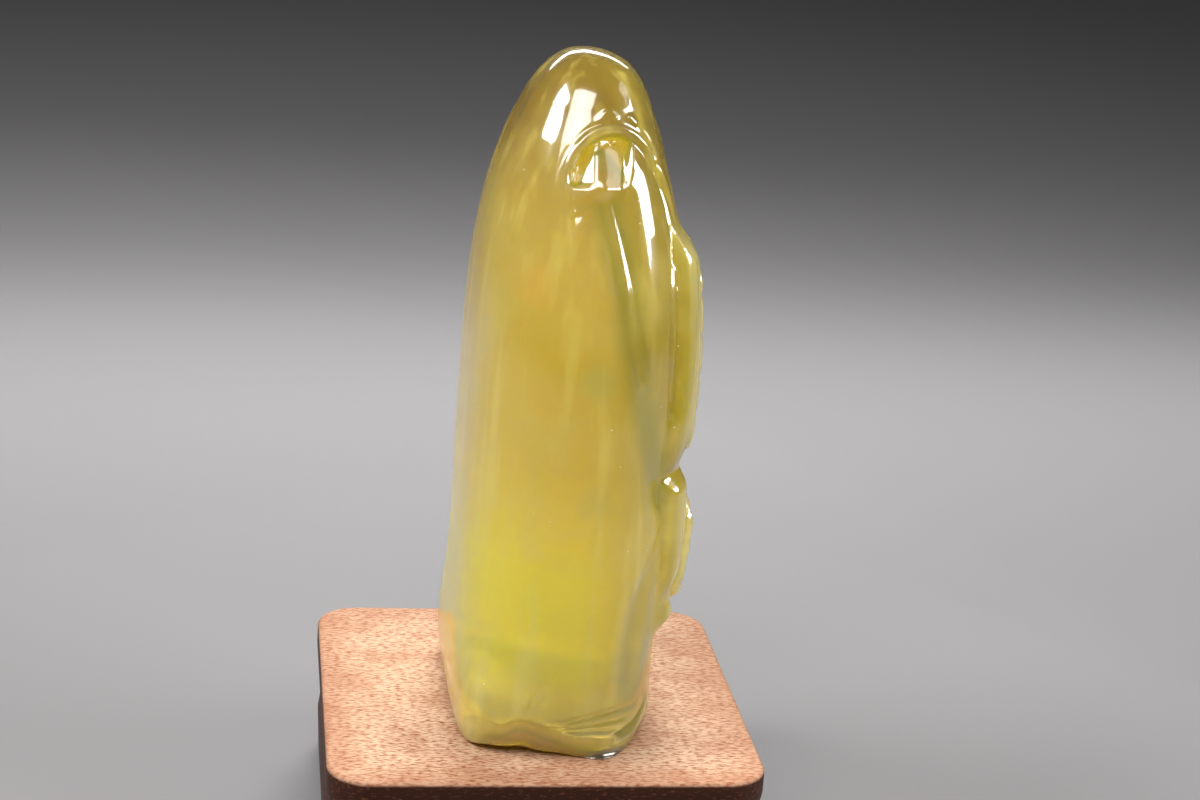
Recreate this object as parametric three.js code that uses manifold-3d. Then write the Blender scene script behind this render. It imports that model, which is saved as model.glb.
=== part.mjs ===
// A carved and polished stone that stands upright on a small wooden stand.
// Millimetres. +Z is up, +X is the stone's carved front and -X its plain rounded back.
// The origin is the middle of the stand's underside.

import * as THREE from 'three';
import { LoftGeometry } from 'three/addons/geometries/LoftGeometry.js';
import { mergeVertices } from 'three/addons/utils/BufferGeometryUtils.js';
import Module from 'manifold-3d';

const wasm = await Module();
wasm.setup();

// The stand: a square block with round corners and a waist cut into its side.
const standWidth = 40;
const standHeight = 14;
const standCornerRadius = 4;
const cornerSteps = 5;
// The side's profile from the underside up: height, and how far the side is cut in there.
const standProfile = [
  [0, 0.8],
  [0.3, 0.5],
  [4.6, 0.3],
  [6.2, 0.5],
  [7.4, 1.1],
  [8.3, 1.6],
  [9.3, 1.4],
  [10.3, 0.6],
  [11.2, 0.1],
  [11.8, 0],
  [13.5, 0],
  [13.85, 0.15],
  [14, 0.5],
];

// The stone stands on the block with this much air under it.
const restGap = 0.05;

// The stone before it is carved. Each station gives the height above the stand, how far the back and the
// front reach, half the depth, and how square the back's corners are.
const stations = [
  { height: 0, back: -8.1, front: 11.1, half: 15.9, square: 4.4 },
  { height: 5, back: -8.5, front: 10.9, half: 16, square: 4 },
  { height: 11, back: -8.3, front: 11.1, half: 15.9, square: 3.4 },
  { height: 18, back: -8.2, front: 11.8, half: 15.8, square: 3.1 },
  { height: 25, back: -8.2, front: 12, half: 15.6, square: 3 },
  { height: 32, back: -8.1, front: 12, half: 15.3, square: 2.9 },
  { height: 38, back: -8, front: 11.8, half: 14.8, square: 2.8 },
  { height: 43.5, back: -7.7, front: 11.3, half: 13.7, square: 2.7 },
  { height: 48, back: -7.1, front: 10.4, half: 12.2, square: 2.6 },
  { height: 52, back: -6.2, front: 9.3, half: 10.6, square: 2.5 },
  { height: 55.5, back: -5.1, front: 8.3, half: 8.9, square: 2.4 },
  { height: 58.5, back: -3.7, front: 7.1, half: 7.2, square: 2.3 },
  { height: 60.4, back: -2.4, front: 6.1, half: 6, square: 2.2 },
  { height: 61.4, back: -1.4, front: 5.1, half: 4.8, square: 2.2 },
  { height: 62.1, back: -0.2, front: 3.8, half: 3.2, square: 2.2 },
  { height: 62.4, back: 0.8, front: 2.6, half: 1.4, square: 2.2 },
];
const frontSquare = 2.4;

// The rim of the underside, by angle from the front: how far in and how high up its edge is rounded, and how
// far it is lifted off the stand.
const rim = [
  { angle: -180, inset: 0.8, round: 2.2, lift: 0.3 },
  { angle: -150, inset: 0.4, round: 1.8, lift: 0.25 },
  { angle: -125, inset: 0.7, round: 1.9, lift: 0.5 },
  { angle: -98, inset: 0.6, round: 1.8, lift: 0.4 },
  { angle: -82, inset: 0, round: 1.4, lift: 0 },
  { angle: -70, inset: -0.8, round: 1.2, lift: 0 },
  { angle: -56, inset: -0.1, round: 1, lift: 0 },
  { angle: -35, inset: 1.3, round: 2.6, lift: 0 },
  { angle: 0, inset: 1.2, round: 1.8, lift: 0 },
  { angle: 40, inset: 1.4, round: 2.4, lift: 0.2 },
  { angle: 75, inset: 0.9, round: 1.4, lift: 0.5 },
  { angle: 110, inset: 1.3, round: 2.6, lift: 0.4 },
  { angle: 145, inset: 0.7, round: 1.6, lift: 0 },
  { angle: 180, inset: 0.8, round: 2.2, lift: 0.3 },
];
const rimReach = 4;
const footMiddle = new THREE.Vector3(1.6, 0, 0);

// The underside is very slightly domed: shares of the foot's ring, and how much lower than it they lie.
const dome = [[0.35, 0.04], [0.75, 0.02]];
const domeDepth = 0.04;

// The foot's chamfer on each side, under a wavy line: the place across, the line's height and the slope.
const footChamfer = [
  { across: -8.4, height: 1.5, slope: 0 },
  { across: -7.3, height: 3.2, slope: 0.06 },
  { across: -6.1, height: 3.8, slope: 0.22 },
  { across: -4.5, height: 3.6, slope: 0.36 },
  { across: -2.8, height: 4.3, slope: 0.42 },
  { across: -0.5, height: 3.6, slope: 0.4 },
  { across: 1.5, height: 2.8, slope: 0.4 },
  { across: 3.7, height: 2.4, slope: 0.4 },
  { across: 5.9, height: 1.9, slope: 0.35 },
  { across: 7.8, height: 1.6, slope: 0.2 },
  { across: 9.7, height: 1.9, slope: 0.1 },
  { across: 11.4, height: 1, slope: 0 },
];

// How finely the stone's surface is divided.
const girthSteps = 66;
const frontCrowding = 0.33;
const roundSteps = 3;
const footRings = 3;
const flankRings = 26;
const shoulderRings = 14;
const crownRings = 6;
const shoulderHeight = 46;
const crownHeight = 58.5;

// The hood: the crown overhangs a hollow on each side, under an arch given by points across and up the side.
// Two flats cut the hollow, each given by where it leaves the skin and how fast it deepens across and up.
const hood = {
  arch: [
    [3, 37], [0.6, 43], [-0.6, 48.5], [-0.8, 51.6], [-0.75, 53.2], [-0.3, 54.5], [0.4, 55.4], [1.2, 56.1],
    [2.2, 56.5], [3.3, 56.6], [4.3, 56.4], [5.2, 55.9], [6, 55.1], [6.9, 53.9], [7.8, 52.4], [8.7, 50.6],
    [9.3, 48.6], [9.9, 45.5],
  ],
  edge: 0.3,
  reach: 6,
  leftFlat: { from: [1.9, 53.4], slope: [-0.54, 0.29], endsFrom: 51.8, endsTo: 52.7 },
  middleFlat: { from: [1.9, 52.9], slope: [0.24, 0.26], fold: [4, 51.3], foldLean: 0.2, foldEdge: 0.35 },
};

// Cuts and ridges on each side. A negative depth stands proud.
const sideStrokes = [
  { name: 'main valley', depth: 0.7, width: 1.6,
    route: [[2.3, 52], [2.8, 50.4], [3.5, 48.1], [4.8, 43.1], [6, 37], [7.4, 32], [9, 26], [10, 22]] },
  { name: 'long ridge', depth: -0.22, width: 2.4,
    route: [[5.4, 54], [6.2, 51], [7, 47.5], [7.6, 42.5], [8, 37], [8.4, 32]] },
  { name: 'lower fold', depth: 0.32, width: 1.6,
    route: [[9.8, 26], [9.8, 22], [8.8, 18.8], [7.6, 15.4], [7.2, 10], [7.3, 5]] },
  { name: 'inner fold', depth: -0.22, width: 1.1,
    route: [[9, 22], [8.2, 19.6], [6.6, 16.6], [5.6, 13.4], [5.2, 10], [5, 6]] },
];

// Rolls that stand proud beside the leaves, on both halves of the front: routes outwards and up.
const frontRolls = [
  { rise: 1.6, width: 2.2, route: [[5.8, 48], [6.8, 45], [7.7, 41], [8.6, 36], [9.5, 31], [9.9, 25]] },
  { rise: 1.3, width: 2.2, route: [[9.9, 26.4], [9.4, 23], [8.9, 19], [8.6, 12.6]] },
];
const rollTaper = 0.22;

// Round knobs on both halves of the front: the stalk's end, and the lower roll's.
const knobs = [
  { at: [5.2, 46.9], radius: 1.3, rise: 0.35 },
  { at: [8.2, 12], radius: 1.8, rise: 1.4 },
];

// Two leaves hang down the middle of the front, one below the other. Each is given by where its stalk and
// its tip lie, across and up the front, by half its width and by its lobes. It stands proud of the skin, and
// its taper is the share of its length over which it sinks towards its stalk and towards its tip.
const leaves = [
  { stalk: [0, 46.9], tip: [0.8, 24], half: 6.2, lobes: 3, notch: 0.1, proud: 1.35, cup: 0.25,
    taper: [0.2, 0.06] },
  { stalk: [0.6, 23.4], tip: [-1.6, 9.6], half: 6.6, lobes: 2, notch: 0.1, proud: 1.75, cup: 0.3,
    taper: [0.35, 0.2] },
];
const leafOutlineSteps = 44;
const leafRings = [0.97, 0.88, 0.74, 0.56, 0.36, 0.15, 0];
const leafRoot = 1.6;
const cupPitch = 1.1;
const midribWidth = 0.6;
const midribDepth = 0.35;
const veinDepth = 0.25;
const veinSlant = 0.3;

const smooth = (from, to, value) => THREE.MathUtils.smoothstep(value, from, to);
const bell = (distance, width) => Math.exp(-((distance / width) ** 2));
const roundTop = (distance, width) => Math.sqrt(Math.max(1 - (distance / width) ** 2, 0));
const power = (value, exponent) => Math.sign(value) * Math.abs(value) ** exponent;

// A smooth curve through one value of each entry, read by another.
function through(entries, key, value) {
  const points = entries.map((entry) => new THREE.Vector2(entry[key], entry[value]));
  const curve = new THREE.SplineCurve(points);
  return (at) => {
    const next = points.findIndex((point) => point.x >= at);
    const i = THREE.MathUtils.clamp(next < 0 ? points.length - 1 : next, 1, points.length - 1);
    const share = (at - points[i - 1].x) / (points[i].x - points[i - 1].x);
    return curve.getPoint((i - 1 + THREE.MathUtils.clamp(share, 0, 1)) / (points.length - 1)).y;
  };
}

const backAt = through(stations, 'height', 'back');
const frontAt = through(stations, 'height', 'front');
const halfAt = through(stations, 'height', 'half');
const squareAt = through(stations, 'height', 'square');
const insetAt = through(rim, 'angle', 'inset');
const roundAt = through(rim, 'angle', 'round');
const liftAt = through(rim, 'angle', 'lift');
const footHeightAt = through(footChamfer, 'across', 'height');
const footSlopeAt = through(footChamfer, 'across', 'slope');

// A point of the uncarved stone's skin. The angle is in degrees from the front, below 0 on the near side.
function skin(angle, height) {
  const turn = THREE.MathUtils.degToRad(angle);
  const back = backAt(height);
  const front = frontAt(height);
  const exponent = 2 / (Math.cos(turn) < 0 ? squareAt(height) : frontSquare);
  return new THREE.Vector3(
    (back + front) / 2 + ((front - back) / 2) * power(Math.cos(turn), exponent),
    halfAt(height) * power(Math.sin(turn), exponent),
    height,
  );
}

// The direction that the skin faces.
function facing(angle, height) {
  const step = 0.25;
  const top = stations[stations.length - 1].height;
  const low = Math.max(height - step, 0);
  const high = Math.min(height + step, top);
  const along = skin(angle + step * 4, height).sub(skin(angle - step * 4, height));
  const up = skin(angle, high).sub(skin(angle, low));
  return along.cross(up).normalize();
}

// The place on the near side of the skin that lies this far across and up.
function onSide([across, height]) {
  const middle = (backAt(height) + frontAt(height)) / 2;
  const reach = (frontAt(height) - backAt(height)) / 2;
  const square = across < middle ? squareAt(height) : frontSquare;
  const share = Math.min(Math.abs(across - middle) / reach, 1);
  return new THREE.Vector3(across, -halfAt(height) * (1 - share ** square) ** (1 / square), height);
}

// The place on the near half of the front that lies this far outwards and up.
function onNearFront([outwards, height]) {
  const middle = (backAt(height) + frontAt(height)) / 2;
  const share = Math.min(outwards / halfAt(height), 1);
  const reach = (frontAt(height) - middle) * (1 - share ** frontSquare) ** (1 / frontSquare);
  return new THREE.Vector3(middle + reach, -outwards, height);
}

// A route on the skin, with its points joined by a curve.
function drawRoute(points, lay) {
  const drawn = new THREE.SplineCurve(points.map(([x, y]) => new THREE.Vector2(x, y)));
  return drawn.getPoints(points.length * 4).map((point) => lay([point.x, point.y]));
}

const archRoute = drawRoute(hood.arch, onSide);
const strokeRoutes = sideStrokes.map((stroke) => drawRoute(stroke.route, onSide));
const rollRoutes = frontRolls.map((roll) => drawRoute(roll.route, onNearFront));

// How far a point is from a route, on which side of it it lies, seen from the near side, and how far along.
function fromRoute(point, route) {
  let nearest = { distance: Infinity, side: 1, along: 0 };
  const foot = new THREE.Vector3();
  for (let i = 1; i < route.length; i++) {
    const stretch = new THREE.Line3(route[i - 1], route[i]);
    const share = stretch.closestPointToPointParameter(point, true);
    stretch.at(share, foot);
    const distance = foot.distanceTo(point);
    if (distance < nearest.distance) {
      const run = stretch.delta(new THREE.Vector3());
      const side = Math.sign(run.z * (point.x - foot.x) - run.x * (point.z - foot.z));
      nearest = { distance, side, along: (i - 1 + share) / (route.length - 1) };
    }
  }
  return nearest;
}

// How deep a flat cut lies under a point of a side.
function flatDepth({ from, slope }, point) {
  return Math.max(slope[0] * (point.x - from[0]) + slope[1] * (point.z - from[1]), 0);
}

// How deep the hollow under the hood is at a point of a side.
function hoodDepth(point) {
  const { leftFlat, middleFlat, edge, reach } = hood;
  const { distance, side } = fromRoute(point, archRoute);
  if (side < 0 || distance > reach) return 0;
  const foldAt = middleFlat.fold[0] + middleFlat.foldLean * (point.z - middleFlat.fold[1]);
  const left = flatDepth(leftFlat, point) * smooth(leftFlat.endsFrom, leftFlat.endsTo, point.z);
  const beforeFold = 1 - smooth(-middleFlat.foldEdge, middleFlat.foldEdge, point.x - foldAt);
  return smooth(0, edge, distance) * Math.max(left, flatDepth(middleFlat, point) * beforeFold);
}

function strokeDepth(point) {
  return sideStrokes.reduce(
    (sum, stroke, i) => sum + stroke.depth * bell(fromRoute(point, strokeRoutes[i]).distance, stroke.width),
    0,
  );
}

function footDepth(point) {
  return footSlopeAt(point.x) * Math.max(footHeightAt(point.x) - point.z, 0);
}

// How far the rolls and knobs stand proud at a point of the near half of the front.
function frontRise(point) {
  const rolls = frontRolls.map(({ rise, width }, i) => {
    const { distance, along } = fromRoute(point, rollRoutes[i]);
    return rise * roundTop(distance, width) * smooth(0, rollTaper, along) * smooth(0, rollTaper, 1 - along);
  });
  const lumps = knobs.map(({ at, radius, rise }) => rise * bell(onNearFront(at).distanceTo(point), radius));
  return Math.max(...rolls) + lumps.reduce((sum, lump) => sum + lump, 0);
}

// The surface of the stone at an angle and a height, with its hollows and folds cut and its rolls proud.
function carved(angle, height) {
  const point = skin(angle, height);
  const near = new THREE.Vector3(point.x, -Math.abs(point.y), point.z);
  const depth = hoodDepth(near) + strokeDepth(near) + footDepth(near);
  const rise = Math.abs(angle) < 90 ? frontRise(near) : 0;
  return point.addScaledVector(facing(angle, height), rise - depth * (1 - smooth(0, 1, rise)));
}

// The angles of the columns, closer together towards the front.
function columnAngles() {
  return Array.from({ length: girthSteps }, (_, i) => {
    const turn = (2 * Math.PI * i) / girthSteps - Math.PI;
    return THREE.MathUtils.radToDeg(turn - frontCrowding * Math.sin(turn));
  });
}

// One ring of the stone, from the height and the inset at each angle. Rings near the rim are lifted with it.
function ring(ringHeight, ringInset = () => 0) {
  return columnAngles().map((angle) => {
    const height = ringHeight(angle);
    const point = carved(angle, height);
    const inwards = footMiddle.clone().sub(point).setZ(0).normalize();
    point.addScaledVector(inwards, ringInset(angle));
    point.z += (domeDepth + liftAt(angle)) * (1 - smooth(0, rimReach, height));
    return point;
  });
}

// A flat ring of the underside, inside the ring where the round of the rim ends.
function underRing(foot, [share, lower]) {
  return foot.map((point) => footMiddle.clone().lerp(point, share).setZ(domeDepth - lower));
}

function stoneRings() {
  const foot = ring(() => 0, insetAt);
  const rings = dome.map((entry) => underRing(foot, entry));
  rings.push(foot);
  for (let i = 1; i <= roundSteps; i++) {
    const turn = (Math.PI / 2) * (i / roundSteps);
    rings.push(ring(
      (angle) => roundAt(angle) * (1 - Math.cos(turn)),
      (angle) => insetAt(angle) * (1 - Math.sin(turn)),
    ));
  }
  const top = stations[stations.length - 1].height;
  for (let i = 1; i <= footRings; i++) {
    const share = i / (footRings + 1);
    rings.push(ring((angle) => THREE.MathUtils.lerp(roundAt(angle), rimReach, share)));
  }
  const stretches = [
    [rimReach, shoulderHeight, flankRings],
    [shoulderHeight, crownHeight, shoulderRings],
    [crownHeight, top, crownRings],
  ];
  for (const [low, high, count] of stretches) {
    for (let i = 0; i < count; i++) {
      const share = i / count;
      const eased = high === top ? Math.sin((share * Math.PI) / 2) : share;
      rings.push(ring(() => THREE.MathUtils.lerp(low, high, eased)));
    }
  }
  rings.push(ring(() => top));
  return rings;
}

// Half the width of a leaf at a share of its length.
function leafWidth(leaf, along) {
  const lobe = 1 - leaf.notch * (1 - Math.abs(Math.sin(Math.PI * leaf.lobes * along)));
  return leaf.half * Math.sin(Math.PI * along ** 0.75) ** 0.55 * lobe;
}

// How far a leaf stands proud of the skin, from the share of its length and the distance from its midrib.
function leafRise(leaf, along, aside) {
  const share = Math.min(Math.abs(aside) / leafWidth(leaf, along), 1);
  const cup = leaf.cup * Math.cos((2 * Math.PI * share) / cupPitch);
  const vein = 0.5 + 0.5 * Math.cos(2 * Math.PI * leaf.lobes * (along + veinSlant * share));
  const cut = midribDepth * bell(aside, midribWidth) + veinDepth * vein * (1 - share);
  const ends = smooth(0, leaf.taper[0], along) * smooth(0, leaf.taper[1], 1 - along);
  return (leaf.proud + cup - cut) * (0.35 + 0.65 * ends);
}

// A point this far across and up the front, and this far out from the skin.
function onFront(across, height, out) {
  const share = THREE.MathUtils.clamp(across / halfAt(height), -1, 1);
  const angle = THREE.MathUtils.radToDeg(Math.asin(power(share, frontSquare / 2)));
  return skin(angle, height).addScaledVector(facing(angle, height), out);
}

// A leaf as a solid that is rooted in the stone: rings inside its outline, from under the skin to its middle.
function leafGeometry(leaf) {
  const stalk = new THREE.Vector2(...leaf.stalk);
  const spine = new THREE.Vector2(...leaf.tip).sub(stalk);
  const across = new THREE.Vector2(-spine.y, spine.x).normalize();
  const outline = Array.from({ length: leafOutlineSteps }, (_, i) => {
    const round = (2 * Math.PI * (i + 0.5)) / leafOutlineSteps;
    const along = (1 - Math.cos(round)) / 2;
    return new THREE.Vector2(along, -Math.sign(Math.sin(round)) * leafWidth(leaf, along));
  });
  const place = (point, share, out) => {
    const along = THREE.MathUtils.lerp(0.5, point.x, share);
    const aside = point.y * share;
    const spot = stalk.clone().addScaledVector(spine, along).addScaledVector(across, aside);
    return onFront(spot.x, spot.y, out ?? leafRise(leaf, along, aside));
  };
  const rings = leafRings.map((share) => outline.map((point) => place(point, share)));
  rings.unshift(outline.map((point) => place(point, 1, leafRise(leaf, point.x, point.y) / 2)));
  rings.unshift(outline.map((point) => place(point, 1, -leafRoot)));
  return new LoftGeometry(rings, { capStart: true });
}

// A closed geometry as a manifold-3d solid.
function solidOf(geometry) {
  const bare = new THREE.BufferGeometry();
  bare.setAttribute('position', geometry.getAttribute('position'));
  bare.setIndex(geometry.index);
  const merged = mergeVertices(bare, 1e-4);
  return new wasm.Manifold(new wasm.Mesh({
    numProp: 3,
    vertProperties: merged.attributes.position.array,
    triVerts: new Uint32Array(merged.index.array),
  }));
}

function geometryOf(solid) {
  const { vertProperties, triVerts } = solid.getMesh();
  const geometry = new THREE.BufferGeometry();
  geometry.setAttribute('position', new THREE.BufferAttribute(vertProperties, 3));
  geometry.setIndex(new THREE.BufferAttribute(triVerts, 1));
  geometry.computeVertexNormals();
  return geometry;
}

// A ring of a square with round corners, cut in by an amount.
function standRing(height, inset) {
  const half = standWidth / 2 - inset;
  const radius = standCornerRadius - inset;
  const outline = new THREE.Path();
  outline.absarc(half - radius, half - radius, radius, 0, Math.PI / 2);
  outline.absarc(-half + radius, half - radius, radius, Math.PI / 2, Math.PI);
  outline.absarc(-half + radius, -half + radius, radius, Math.PI, 1.5 * Math.PI);
  outline.absarc(half - radius, -half + radius, radius, 1.5 * Math.PI, 2 * Math.PI);
  const corners = outline.curves.filter((curve) => curve.isEllipseCurve);
  const points = corners.flatMap((corner) => corner.getPoints(cornerSteps));
  return points.map((point) => new THREE.Vector3(point.x, point.y, height));
}

function makeStand() {
  const geometry = new LoftGeometry(
    standProfile.map(([height, inset]) => standRing(height, inset)),
    { capStart: true, capEnd: true },
  );
  const material = new THREE.MeshStandardMaterial({ color: 0x9a5a3c, roughness: 0.45, metalness: 0 });
  const stand = new THREE.Mesh(geometry, material);
  stand.name = 'wooden_stand';
  return stand;
}

function makeStone() {
  const blank = new LoftGeometry(stoneRings(), { capStart: true, capEnd: true });
  const solid = leaves.reduce((sum, leaf) => sum.add(solidOf(leafGeometry(leaf))), solidOf(blank));
  const material = new THREE.MeshStandardMaterial({ color: 0xc8ac3a, roughness: 0.08, metalness: 0 });
  const stone = new THREE.Mesh(geometryOf(solid), material);
  stone.name = 'carved_stone';
  stone.position.z = standHeight + restGap;
  return stone;
}

const object = new THREE.Group();
object.add(makeStand(), makeStone());

export default object;
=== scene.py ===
import math

import bmesh
import bpy
import numpy as np
from mathutils import Matrix, Vector


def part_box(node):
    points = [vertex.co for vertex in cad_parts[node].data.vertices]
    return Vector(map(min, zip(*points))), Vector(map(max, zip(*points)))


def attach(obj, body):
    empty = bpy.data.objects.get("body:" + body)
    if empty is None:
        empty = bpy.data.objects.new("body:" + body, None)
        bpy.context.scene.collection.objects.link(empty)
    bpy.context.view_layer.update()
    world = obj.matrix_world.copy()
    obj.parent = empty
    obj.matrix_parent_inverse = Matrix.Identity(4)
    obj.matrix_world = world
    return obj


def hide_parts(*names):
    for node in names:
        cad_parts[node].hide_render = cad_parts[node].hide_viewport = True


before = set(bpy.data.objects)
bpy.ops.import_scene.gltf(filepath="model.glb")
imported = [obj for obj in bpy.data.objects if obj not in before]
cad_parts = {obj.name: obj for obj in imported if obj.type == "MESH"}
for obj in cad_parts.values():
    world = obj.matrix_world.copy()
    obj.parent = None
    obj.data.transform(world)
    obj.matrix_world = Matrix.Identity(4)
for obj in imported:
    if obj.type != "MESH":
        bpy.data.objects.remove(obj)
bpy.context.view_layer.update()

mm = 0.001
farAway = 99.0   # in mm, for what is out of a route's reach
tiny = 1e-6      # keeps a division away from zero, and joins points that lie on each other
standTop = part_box("wooden_stand")[1][2] / mm   # the height that the stone stands on
print("frame loaded, the stand is", round(standTop, 2), "mm high")


# small helpers for shapes

def smooth(low, high, value):
    share = np.clip((value - low) / (high - low), 0.0, 1.0)
    return share * share * (3 - 2 * share)


def bell(distance, width):
    return np.exp(-(distance / width) ** 2)


def roundTop(distance, width):
    return np.sqrt(np.clip(1 - (distance / width) ** 2, 0, 1))


def power(value, exponent):
    return np.sign(value) * np.abs(value) ** exponent


def curveThrough(before, start, end, after, share):
    # one stretch of a smooth curve, from start to end
    pullIn, pullOut = (end - before) / 2, (after - start) / 2
    return ((2 * start - 2 * end + pullIn + pullOut) * share ** 3
            + (3 * end - 3 * start - 2 * pullIn - pullOut) * share ** 2
            + pullIn * share + start)


def through(entries, column):
    # a smooth curve through one column of a table, read by its first column
    table = np.array(entries, dtype=float)
    at, values = table[:, 0], table[:, column]
    last = len(at) - 1

    def read(where):
        where = np.clip(where, at[0], at[-1])
        i = np.clip(np.searchsorted(at, where), 1, last)
        share = (where - at[i - 1]) / (at[i] - at[i - 1])
        return curveThrough(values[np.maximum(i - 2, 0)], values[i - 1], values[i],
                            values[np.minimum(i + 1, last)], share)
    return read


def drawCurve(points, steps=4):
    # the same curve drawn through loose points, with this many steps between two of them
    table = np.array(points, dtype=float)
    last = len(table) - 1
    drawn = []
    for i in range(last):
        for step in range(steps):
            drawn.append(curveThrough(table[max(i - 1, 0)], table[i], table[i + 1],
                                      table[min(i + 2, last)], step / steps))
    drawn.append(table[-1])
    return np.array(drawn)


def makePiece(name, bm, material):
    mesh = bpy.data.meshes.new(name)
    bm.to_mesh(mesh)
    bm.free()
    piece = bpy.data.objects.new(name, mesh)
    bpy.context.scene.collection.objects.link(piece)
    mesh.materials.append(material)
    mesh.shade_smooth()
    return piece


# camera, floor and lights

cameraSettings = {
    "azimuth": -8.86, "elevation": 17.74, "roll": 4.13,   # degrees
    "target": (4.85, 0, 29.58), "distance": 227.28,       # mm, from the middle of the stand's top
    "lens": 73.0, "sensor": 36.0, "clipStart": 0.01,
}


def makeCamera(s):
    azimuth, elevation, roll = (math.radians(s[key]) for key in ("azimuth", "elevation", "roll"))
    back = Vector((math.sin(azimuth) * math.cos(elevation), -math.cos(azimuth) * math.cos(elevation),
                   math.sin(elevation)))
    level = Vector((math.cos(azimuth), math.sin(azimuth), 0))
    upright = back.cross(level)
    right = math.cos(roll) * level + math.sin(roll) * upright
    up = back.cross(right)
    camera = bpy.data.objects.new("camera", bpy.data.cameras.new("camera"))
    camera.data.lens, camera.data.sensor_width = s["lens"], s["sensor"]
    camera.data.clip_start = s["clipStart"]
    place = Vector(s["target"]) + Vector((0, 0, standTop)) + back * s["distance"]
    camera.matrix_world = Matrix.Translation(place * mm) @ Matrix((right, up, back)).transposed().to_4x4()
    bpy.context.scene.collection.objects.link(camera)
    bpy.context.scene.camera = camera


def makeLamp(name, place, aim, size, watts, spread, colour, shines):
    light = bpy.data.lights.new(name, "AREA")
    light.shape, light.size, light.size_y = "RECTANGLE", size[0], size[1]
    light.energy, light.spread, light.color = watts, math.radians(spread), colour
    lamp = bpy.data.objects.new(name, light)
    lamp.location = place
    lamp.rotation_euler = (Vector(aim) - Vector(place)).to_track_quat("-Z", "Y").to_euler()
    lamp.visible_camera, lamp.visible_glossy, lamp.visible_transmission = False, shines, shines
    bpy.context.scene.collection.objects.link(lamp)


studio = {
    "view": "Standard",
    "world": (0.06, 0.06, 0.063),
    "floorSize": 5.0, "floorColour": (0.145, 0.145, 0.15), "floorRoughness": 0.8,
    "tints": {"pale": (1, 0.98, 0.96), "warm": (1, 0.97, 0.94)},
    # name, place, aim, size, watts, spread, tint, and whether shiny and clear surfaces show it
    "lights": [
        ("backLight", (0.02, 0.50, 0.24), (0, 0.03, 0.05), (0.46, 0.02), 0.08, 70, "pale", True),
        ("floorPool", (0.0, 0.20, 0.30), (0, 0.14, 0), (0.50, 0.05), 0.13, 30, "pale", False),
        ("leftSoftbox", (-0.363, -0.045, 0.40), (0, 0, 0.06), (0.22, 0.16), 1.12, 110, "warm", True),
        ("rightSoftbox", (0.360, -0.125, 0.228), (0, 0, 0.05), (0.23, 0.14), 0.66, 110, "warm", True),
        ("rightPanel", (0.352, -0.031, 0.404), (0, 0, 0.05), (0.16, 0.14), 0.05, 110, "warm", True),
        ("keyLight", (0.05, 0.30, 0.40), (0, 0.03, 0.03), (0.24, 0.14), 0.52, 64, "pale", False),
        ("frontSoftbox", (-0.156, -0.335, 0.52), (0, 0, 0.05), (0.40, 0.30), 1.1, 110, "warm", True),
    ],
}


def makeStudio(s):
    bpy.context.scene.view_settings.view_transform = s["view"]
    world = bpy.data.worlds.new("studio")
    bpy.context.scene.world = world
    world.use_nodes = True
    world.node_tree.nodes["Background"].inputs["Color"].default_value = (*s["world"], 1)
    for name, place, aim, size, watts, spread, tint, shines in s["lights"]:
        makeLamp(name, place, aim, size, watts, spread, s["tints"][tint], shines)
    bm = bmesh.new()
    bmesh.ops.create_grid(bm, x_segments=1, y_segments=1, size=s["floorSize"] / 2)
    material = bpy.data.materials.new("palePaper")
    material.use_nodes = True
    shader = material.node_tree.nodes["Principled BSDF"]
    shader.inputs["Base Color"].default_value = (*s["floorColour"], 1)
    shader.inputs["Roughness"].default_value = s["floorRoughness"]
    floor = makePiece("floor", bm, material)


makeCamera(cameraSettings)
makeStudio(studio)
print("camera, floor and lights made")


# the stone's shape, in mm above the stand's top: +X is its carved front, -X its plain back

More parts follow.
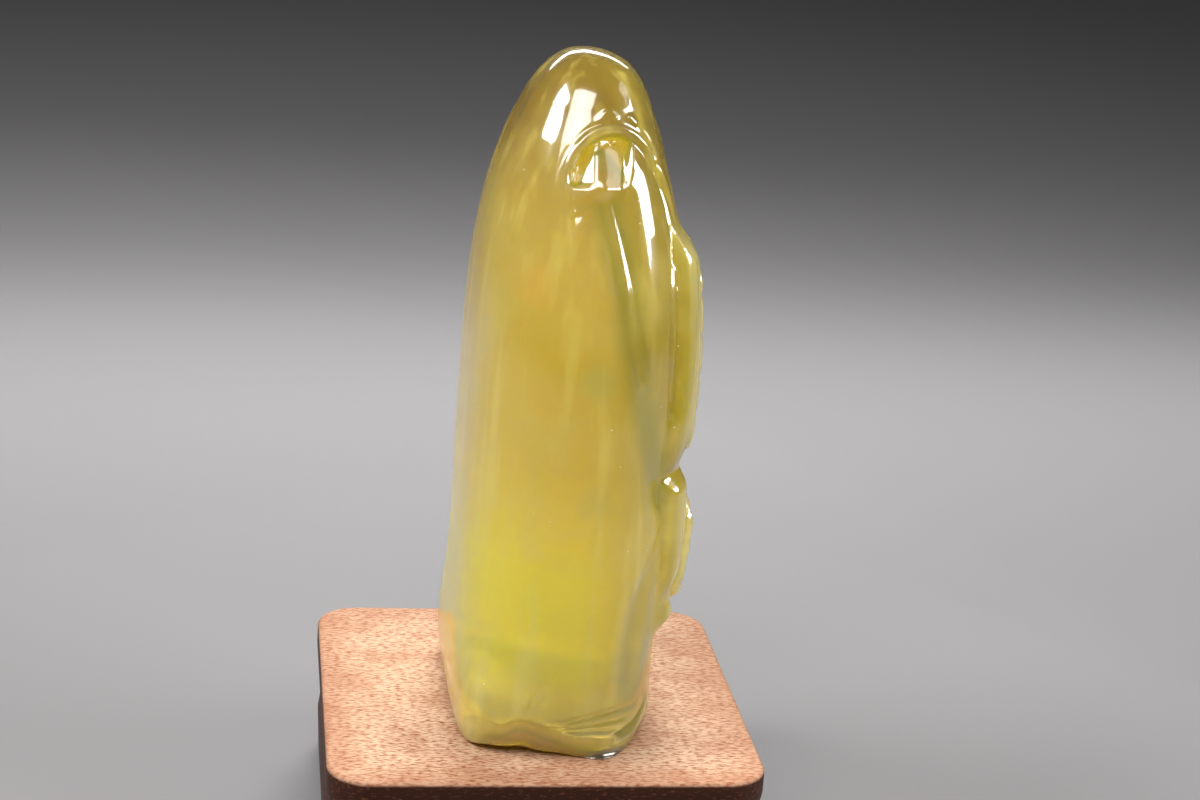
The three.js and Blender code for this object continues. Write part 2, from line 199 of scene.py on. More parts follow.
stoneShape = {
    "gap": 0.05,   # the air between the stone and the stand
    # height, back, front, half the depth, squareness of the back's corners
    "stations": [
        (0, -8.2, 11.1, 15.9, 4.4), (5, -8.75, 10.9, 16, 3.6), (11, -8.5, 11.1, 15.9, 2.8),
        (18, -8.35, 11.8, 15.8, 2.4), (25, -8.4, 12, 15.6, 2.3), (32, -8.3, 12, 15.3, 2.3),
        (38, -8.15, 11.8, 14.8, 2.3), (43.5, -7.8, 11.3, 13.7, 2.3), (48, -7.2, 10.4, 12.2, 2.3),
        (52, -6.3, 9.3, 10.6, 2.3), (55.5, -5.1, 8.3, 8.9, 2.4), (58.5, -3.7, 7.1, 7.2, 2.3),
        (60.4, -2.4, 6.1, 6, 2.2), (61.4, -1.4, 5.1, 4.8, 2.2), (62.1, -0.2, 3.8, 3.2, 2.2),
        (62.4, 0.8, 2.6, 1.4, 2.2),
    ],
    "frontSquare": 2.4, "crownSquare": 2.3,
    # the crown's rings, closed over the top: height, back, front, half the depth
    "crown": [
        (57, -4.46, 7.74, 8.08), (58.5, -3.7, 7.1, 7.2), (59.8, -2.9, 6.5, 6.35), (60.9, -2, 5.7, 5.35),
        (61.7, -1, 4.5, 4.1), (62.2, 0, 3.1, 2.5), (62.4, 1.4, 1.4, 0), (62.2, 3.1, 0, -2.5),
    ],
    # the rim of the underside: angle from the front, inset, round, lift
    "rim": [
        (-180, 0.8, 2.2, 0.3), (-150, 0.4, 1.8, 0.25), (-125, 0.7, 1.9, 0.5), (-98, 0.6, 1.8, 0.4),
        (-82, 0, 1.4, 0), (-70, -0.8, 1.2, 0), (-56, -0.1, 1, 0), (-35, 1.3, 2.6, 0),
        (0, 1.2, 1.8, 0), (40, 1.4, 2.4, 0.2), (75, 0.9, 1.4, 0.5), (110, 1.3, 2.6, 0.4),
        (145, 0.7, 1.6, 0), (180, 0.8, 2.2, 0.3),
    ],
    "rimReach": 4.0, "footMiddle": (1.6, 0), "dome": 0.04,
    # the grid: its columns crowd towards the front, and its rows go up in stretches
    "columns": 294, "crowding": 0.33,
    "underRows": 4, "roundRows": 12, "footRows": 22, "flankRows": 164, "shoulderRows": 104, "crownRows": 30,
    "shoulder": 45.0, "crownFrom": 58.5,
}

carving = {
    # the hood's edge, across and up the side
    "arch": [
        (3, 37), (0.6, 43), (-0.6, 48.5), (-0.8, 51.6), (-0.75, 53.2), (-0.3, 54.5), (0.4, 55.4),
        (1.2, 56.1), (2.2, 56.5), (3.3, 56.6), (4.3, 56.4), (5.2, 55.9), (6, 55.1), (6.9, 53.9),
        (7.8, 52.4), (8.7, 50.6), (9.3, 48.6), (9.9, 45.5),
    ],
    "archEdge": 0.3, "archReach": 6.0, "archSteps": 8,
    # the flats under the hood: where each starts from the skin, and how fast it deepens across and up
    "leftFlat": ((1.9, 53.4), (-0.54, 0.29)), "middleFlat": ((1.9, 52.9), (0.24, 0.26)),
    # the left one ends between two heights, the middle one at a fold: place, lean and softness
    "leftFlatEnd": (51.8, 52.7), "middleFlatEnd": ((4, 51.3), 0.2, 0.35),
    # the shallow cut under the arch's right end: depth, reach and the heights between which it starts
    "rightDepth": 0.3, "rightRamp": 1.8, "rightFade": (48, 52),
    # the lip round the arch: place across its edge, below 0 outside it, rise and width
    "lip": [(-0.38, 0.22, 0.26), (-0.85, -0.07, 0.16)], "lipFade": (0.16, 0.27), "lipTaper": 0.2,
    # how many widths a cut or a roll is worked out to, and the share of its length over which it fades
    "widthsOut": 3, "strokeTaper": 0.12, "chipTaper": 0.2, "rollTaper": 0.22,
    # cuts and ridges on each side: depth, width and route across and up the side
    "strokes": [
        (0.62, 2.1, [(2.3, 52), (2.8, 50.4), (3.5, 48.1), (4.8, 43.1), (6, 37), (7.4, 32), (9, 26),
                     (10, 22)]),
        (-0.2, 0.5, [(1.9, 53), (2.5, 51.3), (3.5, 48.1), (4.8, 43.1), (6, 37), (6.9, 34.2)]),
        (-0.1, 2.4, [(5.4, 54), (6.2, 51), (7, 47.5), (7.6, 42.5), (8, 37), (8.4, 32)]),
        (0.3, 0.28, [(5.6, 56.9), (6.7, 55.2), (7.5, 53), (8.2, 50.7), (8.7, 48.5), (9.1, 46.8),
                     (9, 42.4), (9.1, 37.2), (9.8, 29.5)]),
        (-0.14, 0.25, [(1.7, 57.3), (2.6, 58.2), (3.5, 57.6)]),
        (-0.2, 0.3, [(4.4, 57.9), (5.3, 57.1)]),
        (0.14, 0.14, [(1.6, 55), (2.7, 56.1), (3.8, 55.7)]),
        (0.32, 1.6, [(9.8, 26), (9.8, 22), (8.8, 18.8), (7.6, 15.4), (7.2, 10), (7.3, 5)]),
        (-0.22, 1.1, [(9, 22), (8.2, 19.6), (6.6, 16.6), (5.6, 13.4), (5.2, 10), (5, 6)]),
        (0.06, 0.3, [(4, 27.7), (3.1, 24.5), (2.4, 21.6), (1.9, 20.3)]),
        (0.07, 0.7, [(-0.3, 50), (0, 49.2), (0.7, 47.2), (1.3, 45.6), (2, 43)]),
        (0.12, 0.17, [(-0.8, 8.3), (-1.3, 6.8), (-1.9, 5.5), (-2.8, 4.4)]),
    ],
    # the chamfer under the wavy line round the foot: place across, the line's height, slope
    "footLine": [
        (-8.4, 1.5, 0), (-7.3, 3.2, 0.06), (-6.1, 3.8, 0.22), (-4.5, 3.6, 0.36), (-2.8, 4.3, 0.42),
        (-0.5, 3.6, 0.4), (1.5, 2.8, 0.4), (3.7, 2.4, 0.4), (5.9, 1.9, 0.35), (7.8, 1.6, 0.2),
        (9.7, 1.9, 0.1), (11.4, 1, 0),
    ],
    "footEdge": 0.12, "chipEdge": 0.12,
    # chips above that line, deepest along their upper edge: depth, width and route
    "chips": [
        (0.6, 1.3, [(5.9, 2.3), (7.4, 2.6), (8.9, 3.3), (10.1, 4.5)]),
        (0.22, 0.8, [(0.2, 3.9), (4.5, 4.9), (9, 4.6)]),
        (0.2, 0.7, [(0.6, 3.5), (4.4, 3.9), (8, 3.6)]),
        (0.18, 0.6, [(1, 3.2), (4, 3.2), (6.6, 2.8)]),
    ],
    # rolls and veins on the front, the same on both halves: rise, width and route outwards and up
    "rolls": [
        (1.6, 2.2, [(5.8, 48), (6.8, 45), (7.7, 41), (8.6, 36), (9.5, 31), (9.9, 25)]),
        (1.3, 2.2, [(9.9, 26.4), (9.4, 23), (8.9, 19), (8.6, 12.6)]),
        (-0.25, 0.3, [(7.9, 47.4), (8.7, 45), (9.6, 41), (10.5, 36), (11.3, 31), (11.7, 26.4)]),
        (-0.1, 0.2, [(6.9, 46.4), (8.1, 41), (9, 36), (9.9, 31), (10.3, 27)]),
        (-0.1, 0.2, [(6.3, 46), (7.3, 41), (8.2, 36), (9.1, 31), (9.5, 27)]),
        (-0.25, 0.34, [(0, 60.5), (0, 57), (0, 52), (0, 47)]),
        (-0.18, 0.3, [(0, 58.4), (1.7, 57), (3, 54.6)]),
        (-0.18, 0.3, [(0, 55.4), (2.2, 53.6), (3.8, 50.8)]),
        (-0.18, 0.3, [(0, 52.2), (2.2, 50.4), (3.8, 48)]),
    ],
    "rollMerge": 0.25,                                        # how much of the lower of two rolls is added
    "knobs": [(5.2, 46.9, 1.3, 0.35), (8.2, 12, 1.8, 1.4)],   # across, height, radius, rise
}

leafSettings = {
    "leaves": [
        {"stalk": (0, 46.9), "tip": (0.8, 24), "half": 6.2, "lobes": 3, "notch": 0.1, "proud": 1.35,
         "taper": (0.2, 0.06)},
        {"stalk": (0.6, 23.4), "tip": (-1.6, 9.6), "half": 6.6, "lobes": 2, "notch": 0.1, "proud": 1.75,
         "taper": (0.35, 0.2)},
    ],
    "swell": (0.75, 0.55), "margin": 1e-4,   # where a leaf is widest and how full it is; no width is 0
    "edge": 0.5, "tipEdge": 0.03, "endRise": 0.35,
    "puff": 0.3, "bead": 0.22, "beadIn": 0.75, "beadWidth": 0.45,
    "midribWidth": 0.4, "midribDepth": 0.45,
    "veins": 6, "veinSlant": 0.3, "veinDepth": 0.3, "veinWidth": 0.09,
    "veinStart": (0.02, 0.12), "veinEnd": 0.25,   # shares of the half width
}

backAt = through(stoneShape["stations"], 1)
frontAt = through(stoneShape["stations"], 2)
halfAt = through(stoneShape["stations"], 3)
squareAt = through(stoneShape["stations"], 4)
insetAt = through(stoneShape["rim"], 1)
roundAt = through(stoneShape["rim"], 2)
liftAt = through(stoneShape["rim"], 3)
footLineAt = through(carving["footLine"], 1)
footSlopeAt = through(carving["footLine"], 2)


def ringPoint(angle, back, front, half, square):
    # a point of one ring, by the angle from the front in degrees
    turn = np.radians(angle)
    exponent = 2 / np.where(np.cos(turn) < 0, square, stoneShape["frontSquare"])
    return np.stack([(back + front) / 2 + (front - back) / 2 * power(np.cos(turn), exponent),
                     half * power(np.sin(turn), exponent)], axis=-1)


def skin(angle, height):
    # a point of the uncarved stone, by the angle from the front and the height
    flat = ringPoint(angle, backAt(height), frontAt(height), halfAt(height), squareAt(height))
    return np.concatenate([flat, (height + 0 * angle)[..., None]], axis=-1)


def facing(angle, height):
    # the direction that the uncarved stone faces, from a small step each way
    turnStep, step, top = 1, 0.25, stoneShape["stations"][-1][0]
    along = skin(angle + turnStep, height) - skin(angle - turnStep, height)
    up = skin(angle, np.minimum(height + step, top)) - skin(angle, np.maximum(height - step, 0))
    across = np.cross(along, up)
    return across / np.linalg.norm(across, axis=-1, keepdims=True)


def onSide(points):
    # points across and up the near side, laid on the skin
    across, height = points[:, 0], points[:, 1]
    middle = (backAt(height) + frontAt(height)) / 2
    reach = (frontAt(height) - backAt(height)) / 2
    square = np.where(across < middle, squareAt(height), stoneShape["frontSquare"])
    share = np.minimum(np.abs(across - middle) / reach, 1)
    return np.stack([across, -halfAt(height) * (1 - share ** square) ** (1 / square), height], axis=-1)


def onFront(points):
    # points out from the middle and up the near half of the front, laid on the skin
    outwards, height = points[:, 0], points[:, 1]
    middle = (backAt(height) + frontAt(height)) / 2
    square = stoneShape["frontSquare"]
    share = np.minimum(outwards / halfAt(height), 1)
    return np.stack([middle + (frontAt(height) - middle) * (1 - share ** square) ** (1 / square),
                     -outwards, height], axis=-1)


def fromRoute(points, route, reach):
    # how far each point is from a route, on which side of it and how far along it, within a reach
    nearest = np.full(len(points), farAway)
    side, along = np.ones(len(points)), np.zeros(len(points))
    low, high = route.min(axis=0) - reach, route.max(axis=0) + reach
    close = np.flatnonzero(np.all((points > low) & (points < high), axis=1))
    for i, (start, end) in enumerate(zip(route[:-1], route[1:])):
        run = end - start
        share = np.clip((points[close] - start) @ run / (run @ run), 0, 1)
        gap = points[close] - (start + share[:, None] * run)
        distance = np.linalg.norm(gap, axis=1)
        better = distance < nearest[close]
        at = close[better]
        nearest[at] = distance[better]
        side[at] = np.sign(run[2] * gap[better, 0] - run[0] * gap[better, 2])
        along[at] = (i + share[better]) / (len(route) - 1)
    return nearest, side, along


def flatDepth(flat, near):
    # how deep a flat cut lies under each point of the side
    (across, up), (slopeAcross, slopeUp) = flat
    return np.maximum(slopeAcross * (near[:, 0] - across) + slopeUp * (near[:, 2] - up), 0)


def faded(along, start, end):
    # fades a cut or a roll in over a share of its route and out over another
    return smooth(0, start, along) * smooth(0, end, 1 - along)


def hoodDepth(near):
    # how deep the hollow under the hood is cut, less the lip round it
    c = carving
    across, height = near[:, 0], near[:, 2]
    distance, side, along = fromRoute(near, onSide(drawCurve(c["arch"], c["archSteps"])), c["archReach"])
    signed = distance * side
    within = smooth(0, c["archEdge"], signed) * (distance < c["archReach"])
    (foldAcross, foldUp), foldLean, foldEdge = c["middleFlatEnd"]
    pastFold = across - foldAcross - foldLean * (height - foldUp)
    left = flatDepth(c["leftFlat"], near) * smooth(*c["leftFlatEnd"], height)
    middle = flatDepth(c["middleFlat"], near) * (1 - smooth(-foldEdge, foldEdge, pastFold))
    right = c["rightDepth"] * np.clip(1 - signed / c["rightRamp"], 0, 1) * smooth(*c["rightFade"], height)
    depth = within * np.maximum(np.maximum(left, middle), right)
    lipEnds = smooth(*c["lipFade"], along) * smooth(0, c["lipTaper"], 1 - along)
    for place, rise, width in c["lip"]:
        depth -= rise * bell(signed - place, width) * lipEnds
    return depth


def sideDepth(near):
    # how deep the hollow, the strokes, the chips and the foot's chamfer are cut
    c = carving
    depth = hoodDepth(near)
    for cut, width, route in c["strokes"]:
        distance, _, along = fromRoute(near, onSide(drawCurve(route)), c["widthsOut"] * width)
        depth += cut * bell(distance, width) * faded(along, c["strokeTaper"], c["strokeTaper"])
    for cut, width, route in c["chips"]:
        distance, side, along = fromRoute(near, onSide(drawCurve(route)), c["widthsOut"] * width)
        signed = distance * side
        slope = np.clip(1 - signed / width, 0, 1) * smooth(0, c["chipEdge"], signed)
        depth += cut * slope * faded(along, c["chipTaper"], c["chipTaper"])
    below = footLineAt(near[:, 0]) - near[:, 2]
    return depth + footSlopeAt(near[:, 0]) * (below + np.hypot(below, c["footEdge"])) / 2


def leafRise(leaf, across, height):
    # how far a leaf stands proud of the skin at a place across and up the front
    s = leafSettings
    stalk, tip = np.array(leaf["stalk"]), np.array(leaf["tip"])
    spine = tip - stalk
    length = np.hypot(*spine)
    along = ((across - stalk[0]) * spine[0] + (height - stalk[1]) * spine[1]) / length ** 2
    aside = ((across - stalk[0]) * spine[1] - (height - stalk[1]) * spine[0]) / length
    along = np.clip(along, s["margin"], 1 - s["margin"])
    lobe = 1 - leaf["notch"] * (1 - np.abs(np.sin(np.pi * leaf["lobes"] * along)))
    lean, fullness = s["swell"]
    width = leaf["half"] * np.sin(np.pi * along ** lean) ** fullness * lobe
    within = width - np.abs(aside)
    share = np.clip(np.abs(aside) / width, 0, 1)
    inside = smooth(0, s["edge"], within) * faded(along, s["tipEdge"], s["tipEdge"])
    veinPhase = s["veins"] * (along + s["veinSlant"] * share) % 1 - 0.5
    veined = smooth(*s["veinStart"], share) * smooth(0, s["veinEnd"], 1 - share)
    shape = (leaf["proud"] + s["puff"] * (1 - (2 * veinPhase) ** 2) * veined * (1 - share)
             + s["bead"] * bell(within - s["beadIn"], s["beadWidth"])
             - s["midribDepth"] * bell(aside, s["midribWidth"])
             - s["veinDepth"] * bell(np.abs(veinPhase) - 0.5, s["veinWidth"]) * veined)
    return inside * shape * (s["endRise"] + (1 - s["endRise"]) * faded(along, *leaf["taper"]))


def nearSide(points):
    # the same points with the far half mirrored to the near one
    near = points.copy()
    near[:, 1] = -np.abs(near[:, 1])
    return near


def frontRise(points):
    # how far the leaves, the rolls and the knobs stand proud, less the lines engraved beside them
    c = carving
    rise = np.zeros(len(points))
    for leaf in leafSettings["leaves"]:
        rise = np.maximum(rise, leafRise(leaf, points[:, 1], points[:, 2]))
    near = nearSide(points)
    for height, width, route in c["rolls"]:
        distance, _, along = fromRoute(near, onFront(drawCurve(route)), c["widthsOut"] * width)
        profile = bell if height < 0 else roundTop
        roll = height * profile(distance, width) * faded(along, c["rollTaper"], c["rollTaper"])
        merged = np.maximum(rise, roll) + c["rollMerge"] * np.minimum(rise, roll)
        rise = np.where(height < 0, rise + roll, merged)
    for across, high, radius, knob in c["knobs"]:
        place = onFront(np.array([(across, high)]))[0]
        rise += knob * bell(np.linalg.norm(near - place, axis=1), radius)
    return rise


def rowHeights(s):
    # the heights of the rows between the foot and the crown
    flank = np.linspace(s["rimReach"], s["shoulder"], s["flankRows"], endpoint=False)
    shoulder = np.linspace(s["shoulder"], s["crownFrom"], s["shoulderRows"], endpoint=False)
    return np.concatenate([flank, shoulder])


def crownRing(s, share):
    # the rings of the crown, from its start to the very top
    table = np.array(s["crown"])
    at = 1 + share * (len(table) - 3)
    i = np.minimum(at.astype(int), len(table) - 3)
    return curveThrough(table[i - 1], table[i], table[i + 1], table[i + 2], (at - i)[:, None])


def settleRim(s, place, angle, height, inset, under, share):
    # sets the rim in and lifts it, and draws the rows of the slightly domed underside in to its middle
    middle = np.array([*s["footMiddle"], 0])
    inwards = (middle - place) * (1, 1, 0)
    inwards /= np.maximum(np.linalg.norm(inwards, axis=1, keepdims=True), tiny)
    place += inwards * inset[:, None]
    place[:, 2] += (s["dome"] + liftAt(angle)) * (1 - smooth(0, s["rimReach"], height))
    place[under] = middle + (place[under] - middle) * share[under, None] * (1, 1, 0)
    place[under, 2] = s["dome"] * share[under]


def carveStone(s):
    # a grid is wrapped round the stone's skin, carved, and closed at its back and at both ends
    heights = rowHeights(s)
    footRow = s["underRows"] + s["roundRows"]
    flankRow = footRow + s["footRows"]
    crownRow = flankRow + len(heights)
    rows = crownRow + s["crownRows"]
    bm = bmesh.new()
    bmesh.ops.create_grid(bm, x_segments=s["columns"], y_segments=rows + 1, size=1)
    sheet = np.array([v.co for v in bm.verts])
    turn = sheet[:, 0] * math.pi
    row = np.rint((sheet[:, 1] + 1) / 2 * (rows + 1)).astype(int) - 1
    angle = np.degrees(turn - s["crowding"] * np.sin(turn))

    # the height of each vertex, and how far it is set in at the rim
    roundTurn = np.clip((row - s["underRows"]) / s["roundRows"], 0, 1) * math.pi / 2
    rimRound = roundAt(angle)
    footShare = np.clip((row - footRow) / s["footRows"], 0, 1)
    height = np.where(row < footRow, rimRound * (1 - np.cos(roundTurn)),
                      rimRound + (s["rimReach"] - rimRound) * footShare)
    height = np.where(row < flankRow, height, heights[np.clip(row - flankRow, 0, len(heights) - 1)])
    inset = insetAt(angle) * (1 - np.sin(roundTurn))

    # the plain skin, and the way it faces
    plain = skin(angle, height)
    outwards = facing(angle, height)
    onCrown = row >= crownRow
    rings = crownRing(s, (row[onCrown] - crownRow) / s["crownRows"])
    flat = ringPoint(angle[onCrown], rings[:, 1], rings[:, 2], rings[:, 3], s["crownSquare"])
    plain[onCrown] = np.concatenate([flat, rings[:, :1]], axis=1)
    outwards[onCrown] = (0, 0, 1)
    rise = np.where(np.abs(angle) < 90, frontRise(plain), 0)
    depth = sideDepth(nearSide(plain)) * (1 - smooth(0, 1, rise))
    place = plain + outwards * (rise - depth)[:, None]
    underShare = np.clip((row + 1) / (s["underRows"] + 1), 0, 1)
    settleRim(s, place, angle, height, inset, row < s["underRows"], underShare)
    place[:, 2] += standTop + s["gap"]

    # how far each place stands proud or is cut in, for the colour
    proud, cutIn = bm.verts.layers.float.new("proud"), bm.verts.layers.float.new("cutIn")
    for vert, co, lifted, deep in zip(bm.verts, place * mm, rise, depth):
        vert.co = co
        vert[proud], vert[cutIn] = lifted, deep
    bmesh.ops.remove_doubles(bm, verts=[v for v in bm.verts if v.is_boundary], dist=tiny)
    return bm


# helpers for materials

def makeNode(tree, kind, links=(), **values):
    # a node with some of its inputs set and others linked
    node = tree.nodes.new("ShaderNode" + kind)
    for name, value in values.items():
        node.inputs[name.replace("_", " ")].default_value = value
    for name, socket in dict(links).items():
        tree.links.new(socket, node.inputs[name])
    return node


def ramp(tree, fac, stops):
    # a colour ramp, from place and colour
    node = tree.nodes.new("ShaderNodeValToRGB")
    elements = node.color_ramp.elements
    for i, (place, colour) in enumerate(stops):
        element = elements[i] if i < 2 else elements.new(place)
        element.position, element.color = place, (*colour, 1)
    tree.links.new(fac, node.inputs["Fac"])
    return node.outputs["Color"]


def span(tree, value, low, high):
    # 0 at the low value and 1 at the high one
    node = makeNode(tree, "MapRange", {"Value": value}, From_Min=low, From_Max=high)
    node.interpolation_type = "SMOOTHSTEP"
    return node.outputs["Result"]


def blendColour(tree, fac, first, second):
    # from the first colour to the second; either may be plain or linked
    node = tree.nodes.new("ShaderNodeMix")
    node.data_type = "RGBA"
    tree.links.new(fac, node.inputs["Factor"])
    for socket, colour in ((node.inputs["A"], first), (node.inputs["B"], second)):
        if isinstance(colour, tuple):
            socket.default_value = (*colour, 1)
        else:
            tree.links.new(colour, socket)
    return node.outputs["Result"]


def calculate(tree, operation, first, second):
    # one calculation with two values; the second may be a plain number
    node = tree.nodes.new("ShaderNodeMath")
    node.operation = operation
    tree.links.new(first, node.inputs[0])
    if isinstance(second, (int, float)):
        node.inputs[1].default_value = second
    else:
        tree.links.new(second, node.inputs[1])
    return node.outputs["Value"]


def tinted(tree, colour, mask, share, shade):
    # a share of another colour, laid over the first where the mask is on
    return blendColour(tree, calculate(tree, "MULTIPLY", mask, share), colour, shade)


# stone material

stoneFinish = {
    # colours by the height above the stand, in mm: the stone's own honey colour with painted light and
    # shade in it, brighter on the foot and low down for light coming up from the stand, a painted dark band
    # just above the foot for the stand's back edge seen through the stone, and darker towards the crown,
    # painted shade
    "heights": [
        (0, (1.0, 0.86, 0.22)), (2.6, (1.0, 0.86, 0.22)), (4.2, (0.66, 0.56, 0.09)),
        (6.0, (0.74, 0.61, 0.08)), (8.5, (1.0, 0.78, 0.04)), (18, (1.0, 0.78, 0.04)),
        (28, (0.74, 0.58, 0.08)), (45, (0.68, 0.53, 0.13)), (52, (0.54, 0.41, 0.10)),
        (57, (0.33, 0.245, 0.045)), (62, (0.24, 0.175, 0.03)),
    ],
    "wobble": 2.2,   # how far those heights wander, in mm
    # a deeper colour towards +X, and where it starts and is full, in mm
    "front": (0.36, 0.32, 0.05), "frontShare": 0.6, "frontZone": (1.5, 7.5),
    "cloud": (0.78, 0.70, 0.26), "cloudShare": 0.4, "cloudScale": 95, "cloudSpan": (0.48, 0.68),
    "streak": (0.98, 0.86, 0.30), "streakShare": 0.35, "streakScale": (520, 520, 60),
    "streakSpan": (0.5, 0.75),
    # colours by how deep or how proud a place is: from and to in mm, colour, share
    "layers": [
        ("cutIn", (0.1, 0.7), (0.36, 0.37, 0.08), 0.8),     # painted shade in the deep folds
        ("cutIn", (0.65, 0.9), (0.60, 0.49, 0.12), 1.0),    # the hollow under the hood
        ("proud", (0.8, 1.6), (1.0, 0.93, 0.50), 0.5),      # painted light: what stands proud is paler, for light shining through its thin parts
    ],
    # a core is the share of a speck's or a spot's radius over which it is full
    "speck": (1.0, 0.97, 0.80), "speckScale": 420, "speckSize": 0.045, "speckCore": 0.5, "spotCore": 0.2,
    # soft spots: place in mm above the stand's top, radius, colour, share
    "spots": [
        ((-3.9, -13, 44), 3.2, (0.95, 0.50, 0.10), 0.35), ((2.4, -15, 36), 2.6, (0.55, 0.55, 0.18), 0.5),
        ((2.6, -15, 25), 2.4, (0.55, 0.55, 0.18), 0.4),
    ],
    "transmission": 0.55, "ior": 1.54, "roughness": 0.17,
    # the polish, and how much of it is left where it is seen along the surface
    "coatIor": 1.75, "coatRoughness": 0.04, "coatFade": (0.72, 0.93), "coatGrazing": 0.15,
    "absorb": (0.993, 0.95, 0.15), "density": 120.0,
    "milk": 1.0, "milkReach": (0.030, 0.026, 0.006),        # how far light spreads inside, in metres
}


def stoneColour(tree, s):
    where = makeNode(tree, "TexCoord").outputs["Object"]
    apart = makeNode(tree, "SeparateXYZ", {"Vector": where}).outputs
    across, height = apart["X"], apart["Z"]
    clouds = makeNode(tree, "TexNoise", {"Vector": where}, Scale=s["cloudScale"], Detail=3.0).outputs["Fac"]
    # the heights' colours, with their painted light and shade, wandering with the clouds
    wobble = s["wobble"] * mm
    wander = makeNode(tree, "MapRange", {"Value": clouds}, To_Min=-wobble, To_Max=wobble).outputs["Result"]
    top = s["heights"][-1][0]
    share = makeNode(tree, "MapRange", {"Value": calculate(tree, "ADD", height, wander)},
                     From_Min=standTop * mm, From_Max=(standTop + top) * mm).outputs["Result"]
    colour = ramp(tree, share, [(at / top, shade) for at, shade in s["heights"]])
    low, high = (edge * mm for edge in s["frontZone"])
    colour = tinted(tree, colour, span(tree, across, low, high), s["frontShare"], s["front"])
    colour = tinted(tree, colour, span(tree, clouds, *s["cloudSpan"]), s["cloudShare"], s["cloud"])
    stretched = makeNode(tree, "Mapping", {"Vector": where}, Scale=s["streakScale"]).outputs["Vector"]
    streaks = makeNode(tree, "TexNoise", {"Vector": stretched}, Scale=1.0, Detail=2.0).outputs["Fac"]
    colour = tinted(tree, colour, span(tree, streaks, *s["streakSpan"]), s["streakShare"], s["streak"])
    for place, radius, shade, part in s["spots"]:
        middle = (place[0] * mm, place[1] * mm, (place[2] + standTop) * mm)
        away = tree.nodes.new("ShaderNodeVectorMath")
        away.operation = "DISTANCE"
        tree.links.new(where, away.inputs[0])
        away.inputs[1].default_value = middle
        near = span(tree, away.outputs["Value"], radius * mm, s["spotCore"] * radius * mm)
        colour = tinted(tree, colour, near, part, shade)
    for name, zone, shade, part in s["layers"]:
        layer = tree.nodes.new("ShaderNodeAttribute")
        layer.attribute_name = name
        colour = tinted(tree, colour, span(tree, layer.outputs["Fac"], *zone), part, shade)
    cells = makeNode(tree, "TexVoronoi", {"Vector": where}, Scale=s["speckScale"]).outputs["Distance"]
    speck = span(tree, cells, s["speckSize"], s["speckCore"] * s["speckSize"])
    return blendColour(tree, speck, colour, s["speck"])


def stoneMaterial(s):
    material = bpy.data.materials.new("honeyCitrine")
    material.use_nodes = True
    tree = material.node_tree
    shader = tree.nodes["Principled BSDF"]
    tree.links.new(stoneColour(tree, s), shader.inputs["Base Color"])
    shader.inputs["Roughness"].default_value = s["roughness"]
    shader.inputs["IOR"].default_value = s["ior"]
    shader.inputs["Transmission Weight"].default_value = s["transmission"]
    shader.inputs["Subsurface Weight"].default_value = s["milk"]
    shader.inputs["Subsurface Radius"].default_value = s["milkReach"]
    shader.inputs["Subsurface Scale"].default_value = 1.0
    # the coat shines less where it is seen along its surface
    grazing = tree.nodes.new("ShaderNodeLayerWeight").outputs["Facing"]
    low, high = s["coatFade"]
    coat = makeNode(tree, "MapRange", {"Value": grazing},
                    From_Min=low, From_Max=high, To_Min=1.0, To_Max=s["coatGrazing"])
    tree.links.new(coat.outputs["Result"], shader.inputs["Coat Weight"])
    shader.inputs["Coat IOR"].default_value = s["coatIor"]
    shader.inputs["Coat Roughness"].default_value = s["coatRoughness"]
    volume = makeNode(tree, "VolumeAbsorption", Color=(*s["absorb"], 1), Density=s["density"])
    tree.links.new(volume.outputs["Volume"], tree.nodes["Material Output"].inputs["Volume"])
    return material


stone = makePiece("carvedStone", carveStone(stoneShape), stoneMaterial(stoneFinish))
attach(stone, "root")
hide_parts("carved_stone")
print("stone carved:", len(stone.data.vertices), "vertices")


# the wooden stand

standShape = {
    "width": 40.0, "corner": 4.0, "cornerSteps": 12,
    # height and inset of the side, from the underside up
    "profile": [
        (0, 0.8), (0.12, 0.62), (0.3, 0.5), (4.6, 0.3), (6.2, 0.5), (7.4, 1.1), (8.3, 1.6), (9.3, 1.4),
        (10.3, 0.6), (11.2, 0.1), (11.8, 0), (13.5, 0), (13.72, 0.04), (13.88, 0.15), (13.97, 0.3),
        (14, 0.5),
    ],
}


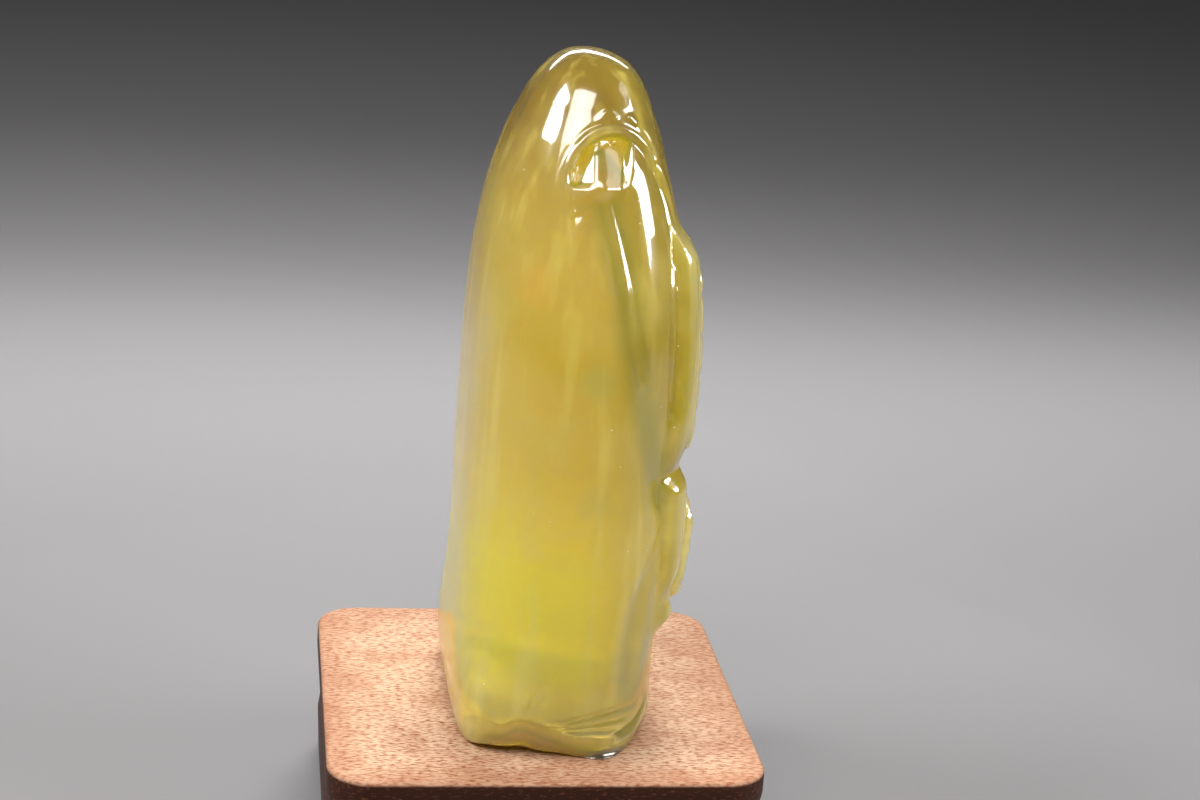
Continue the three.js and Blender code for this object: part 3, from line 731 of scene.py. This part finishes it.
def raiseStand(s):
    # a square with round corners is drawn up through the rings of the profile and closed over its top
    half, corner, profile = s["width"] / 2, s["corner"], s["profile"]
    bm = bmesh.new()
    bmesh.ops.create_grid(bm, x_segments=1, y_segments=1, size=half)
    bmesh.ops.bevel(bm, geom=bm.verts[:], offset=corner, offset_type="OFFSET", segments=s["cornerSteps"],
                    profile=0.5, affect="VERTICES", material=-1)
    bmesh.ops.reverse_faces(bm, faces=bm.faces[:])

    def setIn(co, inset):
        side = Vector((math.copysign(max(abs(co.x) - half + corner, 0), co.x),
                       math.copysign(max(abs(co.y) - half + corner, 0), co.y), 0))
        return co - side.normalized() * inset

    def faceOrder(face):
        # from the underside up, and round each ring
        turnsApart, middle = 1000, face.calc_center_median()
        return turnsApart * middle.z + math.atan2(middle.y, middle.x)

    base = [v.co.copy() for v in bm.verts]
    for vert in bm.verts:
        vert.co = setIn(vert.co, profile[0][1])
    edge = [e for e in bm.edges if e.is_boundary]
    for height, inset in profile[1:]:
        grown = bmesh.ops.extrude_edge_only(bm, edges=edge)["geom"]
        for vert in [item for item in grown if isinstance(item, bmesh.types.BMVert)]:
            nearest = min(base, key=lambda co: (co.xy - vert.co.xy).length)
            vert.co = setIn(nearest, inset) + Vector((0, 0, height))
        edge = [item for item in grown if isinstance(item, bmesh.types.BMEdge)]
    bmesh.ops.contextual_create(bm, geom=edge)
    bmesh.ops.recalc_face_normals(bm, faces=bm.faces[:])
    bm.faces.sort(key=faceOrder)   # extruding leaves them in a different order on each run
    bmesh.ops.scale(bm, vec=(mm, mm, mm), verts=bm.verts[:])
    return bm


standFinish = {
    # the top and the side are coloured apart: the top's peach is partly the wood's own colour and partly
    # painted sheen from glare, and the nearly black side is partly the wood's dark colour and partly
    # painted shade
    "peachAndSheen": (0.45, 0.305, 0.203), "red": (0.19, 0.056, 0.020), "brown": (0.20, 0.06, 0.022),
    "side": (0.030, 0.008, 0.003), "sideGlint": (0.12, 0.04, 0.018),
    "fleckScale": (1600, 4200, 4200), "topFlecks": (0.3, 0.58), "sideFlecks": (0.55, 0.75),
    "patchScale": 220, "patchSpan": (0.45, 0.7), "patchShare": 0.35,
    "edgeZone": (15.5, 19.5), "edgeShare": 0.4,   # mm from the middle, where the top darkens, painted shade
    "sideBelow": (13.6, 13.85),                   # mm up the stand, where the side's nearly black colour ends: partly the wood's own dark colour, partly painted shade
    "roughness": [(0.3, (0.6, 0.6, 0.6)), (0.7, (0.45, 0.45, 0.45))], "specular": 0.2,
    "grainStrength": 0.12, "grainDepth": 0.0002,
}


def woodMaterial(s):
    material = bpy.data.materials.new("rosewood")
    material.use_nodes = True
    tree = material.node_tree
    shader = tree.nodes["Principled BSDF"]
    where = makeNode(tree, "TexCoord").outputs["Object"]
    height = makeNode(tree, "SeparateXYZ", {"Vector": where}).outputs["Z"]
    stretched = makeNode(tree, "Mapping", {"Vector": where}, Scale=s["fleckScale"]).outputs["Vector"]
    flecks = makeNode(tree, "TexNoise", {"Vector": stretched}, Scale=1.0, Detail=4.0).outputs["Fac"]
    patches = makeNode(tree, "TexNoise", {"Vector": where}, Scale=s["patchScale"], Detail=2.0)
    top = ramp(tree, flecks, zip(s["topFlecks"], (s["red"], s["peachAndSheen"])))
    patch = span(tree, patches.outputs["Fac"], *s["patchSpan"])
    top = tinted(tree, top, patch, s["patchShare"], s["brown"])
    # the top darkens towards its edges, painted shade
    apart = tree.nodes.new("ShaderNodeVectorMath")
    apart.operation = "ABSOLUTE"
    tree.links.new(where, apart.inputs[0])
    sides = makeNode(tree, "SeparateXYZ", {"Vector": apart.outputs["Vector"]}).outputs
    outwards = calculate(tree, "MAXIMUM", sides["X"], sides["Y"])
    nearEdge = span(tree, outwards, *(edge * mm for edge in s["edgeZone"]))
    top = tinted(tree, top, nearEdge, s["edgeShare"], s["brown"])
    side = ramp(tree, flecks, zip(s["sideFlecks"], (s["side"], s["sideGlint"])))
    # below this height the side takes its nearly black colour, partly painted shade
    colour = blendColour(tree, span(tree, height, *(edge * mm for edge in s["sideBelow"])), side, top)
    tree.links.new(colour, shader.inputs["Base Color"])
    tree.links.new(ramp(tree, flecks, s["roughness"]), shader.inputs["Roughness"])
    shader.inputs["Specular IOR Level"].default_value = s["specular"]
    grain = makeNode(tree, "Bump", {"Height": flecks},
                     Strength=s["grainStrength"], Distance=s["grainDepth"])
    tree.links.new(grain.outputs["Normal"], shader.inputs["Normal"])
    return material


stand = makePiece("woodenStand", raiseStand(standShape), woodMaterial(standFinish))
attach(stand, "root")
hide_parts("wooden_stand")
print("stand made:", len(stand.data.vertices), "vertices")


print("stone and stand made")
